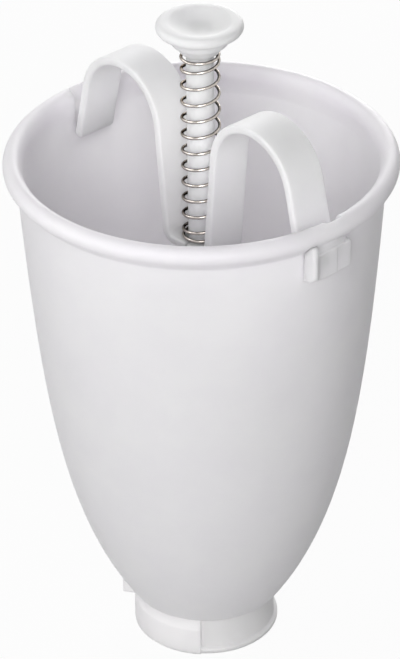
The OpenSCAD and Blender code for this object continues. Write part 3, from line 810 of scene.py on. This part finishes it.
def knob_shells(s):
    """Thumb knob: a narrow neck on the spring, a collar, an underside that flares as a quarter
    ellipse, a round edge and a dish on a large circle."""
    height = s.knob_top_z - s.knob_z
    socket, neck, collar = s.rod_r + SOCKET_GAP, 6.08 * MM, 8.19 * MM
    edge, collar_h = 0.17 * height, 0.3 * height
    collar_z, edge_z, edge_x = s.knob_z + collar_h, s.knob_top_z - edge, s.knob_r - edge
    flare, under_count, edge_count, dish_count = collar + edge / 2, 24, 16, 24
    a = np.linspace(0.0, math.pi / 2, under_count)[1:]
    under = np.stack([flare + (edge_x - flare) * (1 - np.cos(a)),
                      collar_z + (edge_z - edge - collar_z) * np.sin(a)], axis=-1)
    dish_x = s.knob_r * s.dish_part
    big = (dish_x ** 2 + s.dish ** 2) / (2 * s.dish)
    fall = np.linspace(math.asin(dish_x / big), 0.0, dish_count)
    dish_z = s.knob_top_z - s.dish
    dish = np.stack([big * np.sin(fall), dish_z + big * (1 - np.cos(fall))], axis=-1)
    rod_top = high("plunger_rod").z
    return [spindle(np.vstack([
        [[0, rod_top], [socket, rod_top], [socket, s.knob_z], [neck, s.knob_z], [collar, collar_z],
         [flare, collar_z]], under, arc(edge_x, edge_z, edge, SKIP - 90.0, 90.0, edge_count), dish]),
        reach=0.45 * MM, count=120, longest=1.2 * MM)]


def spring_grid(s):
    """Wire carried along a helix: the rise per turn is small in the closed end turns and even
    between them, eased from one to the other, and the section stands square to the helix."""
    low_z, top_z = low("return_spring").z + s.wire_r, high("return_spring").z - s.wire_r
    main = (top_z - low_z - 2 * s.end_pitch) / (s.turns - 2)
    per_turn, wire_sides, ease = 56, 14, 0.5
    u = np.linspace(0.0, s.turns, int(per_turn * s.turns) + 1)
    pitch = s.end_pitch + (main - s.end_pitch) * window(u, 1.0, s.turns - 1.0, ease)
    rise = np.concatenate([[0.0], np.cumsum((pitch[1:] + pitch[:-1]) / 2 * np.diff(u))])
    z = low_z + rise * (top_z - low_z) / rise[-1]
    a = s.phase + 2 * math.pi * u
    out = np.stack([np.cos(a), np.sin(a), np.zeros_like(a)], axis=-1)
    tilt = np.arctan2(pitch, 2 * math.pi * s.coil_r)
    up = np.stack([np.sin(tilt) * np.sin(a), -np.sin(tilt) * np.cos(a), np.cos(tilt)], axis=-1)
    centre = s.coil_r * out + np.stack([np.zeros_like(z), np.zeros_like(z), z], axis=-1)
    b = around(wire_sides)
    grid = centre[:, None] + s.wire_r * (np.cos(b)[None, :, None] * out[:, None]
                                         + np.sin(b)[None, :, None] * up[:, None])
    return grid, centre


class DROPPER_OT_bowl(bpy.types.Operator):
    """Build the hopper with its rolled rim and rotary buckles"""

    bl_idname = "dropper.bowl"
    bl_label = "Hopper"

    def execute(self, context):
        s = context.scene.dropper_bowl
        piece("hopper_bowl", bowl_shells(s), "hopper_body", "hopper_plastic",
              moulded_plastic("hopper_white", s.shade), "hopper")
        return {"FINISHED"}


class DROPPER_OT_ring(bpy.types.Operator):
    """Build the outlet ring with its grip band and thumb tab"""

    bl_idname = "dropper.ring"
    bl_label = "Outlet ring"

    def execute(self, context):
        s = context.scene.dropper_ring
        piece("outlet_twist_ring", ring_shells(s), "ring_body", "ring_plastic",
              moulded_plastic("ring_white", s.shade), "outlet_ring")
        return {"FINISHED"}


class DROPPER_OT_bracket(bpy.types.Operator):
    """Build the finger bracket with its arches, seat, guide and tongues"""

    bl_idname = "dropper.bracket"
    bl_label = "Finger bracket"

    def execute(self, context):
        s = context.scene.dropper_bracket
        piece("finger_arches", bracket_shells(s), "bracket_body", "bracket_plastic",
              moulded_plastic("bracket_white", s.shade), "finger_bracket")
        return {"FINISHED"}


class DROPPER_OT_plunger(bpy.types.Operator):
    """Build the plunger's rod, plug and thumb knob"""

    bl_idname = "dropper.plunger"
    bl_label = "Plunger"

    def execute(self, context):
        s = context.scene.dropper_plunger
        white = moulded_plastic("plunger_white", s.shade)
        piece("push_rod", rod_shells(s), "plunger_body", "plunger_plastic", white, "plunger_rod")
        piece("cone_plug", plug_shells(s), "plunger_body", "plunger_plastic", white, "outlet_plug")
        piece("dished_knob", knob_shells(s), "plunger_body", "plunger_plastic", white, "thumb_knob")
        return {"FINISHED"}


class DROPPER_OT_spring(bpy.types.Operator):
    """Build the return spring"""

    bl_idname = "dropper.spring"
    bl_label = "Return spring"

    def execute(self, context):
        s = context.scene.dropper_spring
        grid, centre = spring_grid(s)
        rows, cols = grid.shape[:2]
        points = np.vstack([grid.reshape(-1, 3), centre[:1], centre[-1:]])
        number = np.arange(rows * cols).reshape(rows, cols)
        tris = np.vstack([fan(number[0], rows * cols), fan(number[-1, ::-1], rows * cols + 1)])
        shell = (points, *outward(points, quads(rows, cols, False, True), tris))
        obj = piece("coil_spring", [shell], "bracket_body", "spring_steel",
                    drawn_steel("spring_wire", s.shade), "return_spring")
        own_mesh(obj)
        return {"FINISHED"}


LAMP_SIZE = 0.8
LAMPS = {"side": (-0.9, -0.52, 1.05), "low": (-0.47, -1.3, 0.31), "front": (0.87, -1.0, 0.54),
         "high": (0.8, -0.8, 0.93), "back": (-0.79, 1.04, 0.5)}


def lamp(name, place_at, aim, watts):
    """A square soft lamp that faces its aim."""
    data = bpy.data.lights.new(name, "AREA")
    data.shape, data.size, data.energy = "SQUARE", LAMP_SIZE, watts
    obj = bpy.data.objects.new(name, data)
    obj.location = place_at
    obj.rotation_euler = (Vector(aim) - Vector(place_at)).to_track_quat("-Z", "Y").to_euler()
    bpy.context.scene.collection.objects.link(obj)


def seen_rays(tree):
    """Value that is 1 for what the camera sees directly, mirrored or through glass."""
    path = tree.nodes.new("ShaderNodeLightPath")
    total = None
    for ray in ("Is Glossy Ray", "Is Transmission Ray"):
        both = math_node(tree, "ShaderNodeMath", "MAXIMUM")
        tree.links.new(total or path.outputs["Is Camera Ray"], both.inputs[0])
        tree.links.new(path.outputs[ray], both.inputs[1])
        total = both.outputs[0]
    return total


def surface(tree, part, lit, seen, output):
    """Gives an output the lit shader, with the seen one mixed in by the given part."""
    mix = tree.nodes.new("ShaderNodeMixShader")
    tree.links.new(part, mix.inputs["Fac"])
    link(tree, lit, 0, mix, 1)
    link(tree, seen, 0, mix, 2)
    link(tree, mix, 0, tree.nodes[output], "Surface")


def white_sky(strength):
    """World that lights evenly and shows plain white to the camera."""
    world = bpy.data.worlds.new("studio_sky")
    bpy.context.scene.world = world
    world.use_nodes = True
    tree = world.node_tree
    even = tree.nodes["Background"]
    fill(even, {"Color": WHITE, "Strength": strength})
    white = tree.nodes.new("ShaderNodeBackground")
    fill(white, {"Color": WHITE, "Strength": 1.0})
    surface(tree, seen_rays(tree), even, white, "World Output")


def pale_floor(shade):
    """Floor that keeps the part's shadow and is lifted towards white for the camera."""
    half, lift = 3.0, 0.95
    mesh = bpy.data.meshes.new("studio_floor")
    mesh.from_pydata([(-half, -half, 0), (half, -half, 0), (half, half, 0), (-half, half, 0)], [],
                     [(0, 1, 2, 3)])
    material = bpy.data.materials.new("floor_paint")
    material.use_nodes = True
    tree = material.node_tree
    shader = tree.nodes["Principled BSDF"]
    fill(shader, {"Base Color": (*shade, 1.0), "Roughness": 0.9})
    glow = tree.nodes.new("ShaderNodeEmission")
    fill(glow, {"Strength": 1.0})
    weak = math_node(tree, "ShaderNodeMath", "MULTIPLY")
    fill(weak, {1: lift})
    tree.links.new(seen_rays(tree), weak.inputs[0])
    surface(tree, weak.outputs[0], shader, glow, "Material Output")
    mesh.materials.append(material)
    floor = bpy.data.objects.new("studio_floor", mesh)
    bpy.context.scene.collection.objects.link(floor)


class DROPPER_OT_stage(bpy.types.Operator):
    """Set up the floor, the lamps and the camera"""

    bl_idname = "dropper.stage"
    bl_label = "Stage"

    def execute(self, context):
        s = context.scene.dropper_stage
        film_width, near_clip = 36.0, 0.01
        data = bpy.data.cameras.new("view_camera")
        data.lens, data.sensor_width, data.clip_start = s.lens, film_width, near_clip
        camera = bpy.data.objects.new("view_camera", data)
        eye, aim = Vector(s.eye), Vector(s.aim)
        turn = (aim - eye).to_track_quat("-Z", "Y").to_matrix() @ Matrix.Rotation(s.roll, 3, "Z")
        camera.matrix_world = Matrix.Translation(eye) @ turn.to_4x4()
        context.scene.collection.objects.link(camera)
        context.scene.camera = camera
        context.scene.view_settings.view_transform = "Standard"
        white_sky(s.sky)
        pale_floor(s.floor_shade)
        for name, place_at in LAMPS.items():
            lamp(name + "_lamp", place_at, s.aim, getattr(s, name + "_watts"))
        return {"FINISHED"}


STEPS = ("bowl", "ring", "bracket", "plunger", "spring", "stage")


class DROPPER_PT_steps(bpy.types.Panel):
    """Lists the steps that build the dropper"""

    bl_idname = "DROPPER_PT_steps"
    bl_label = "Donut dropper"
    bl_space_type = "VIEW_3D"
    bl_region_type = "UI"
    bl_category = "Dropper"

    def draw(self, context):
        for step in STEPS:
            box = self.layout.box()
            box.operator("dropper." + step)
            settings = getattr(context.scene, "dropper_" + step)
            for key in settings.bl_rna.properties.keys():
                if key not in ("rna_type", "name"):
                    box.prop(settings, key)


SETTINGS = {"bowl": BowlSettings, "ring": RingSettings, "bracket": BracketSettings,
            "plunger": PlungerSettings, "spring": SpringSettings, "stage": StageSettings}
CLASSES = (*SETTINGS.values(), DROPPER_OT_bowl, DROPPER_OT_ring, DROPPER_OT_bracket,
           DROPPER_OT_plunger, DROPPER_OT_spring, DROPPER_OT_stage, DROPPER_PT_steps)


def register():
    """Registers the classes and puts the settings on the scene."""
    for cls in CLASSES:
        bpy.utils.register_class(cls)
    for step, cls in SETTINGS.items():
        setattr(bpy.types.Scene, "dropper_" + step, bpy.props.PointerProperty(type=cls))


def unregister():
    """Takes the settings off the scene and unregisters the classes."""
    for step in SETTINGS:
        delattr(bpy.types.Scene, "dropper_" + step)
    for cls in reversed(CLASSES):
        bpy.utils.unregister_class(cls)


def main():
    """Builds every piece and the stage."""
    register()
    for step in STEPS:
        getattr(bpy.ops.dropper, step)()
    bpy.context.view_layer.update()


if __name__ == "__main__":
    main()
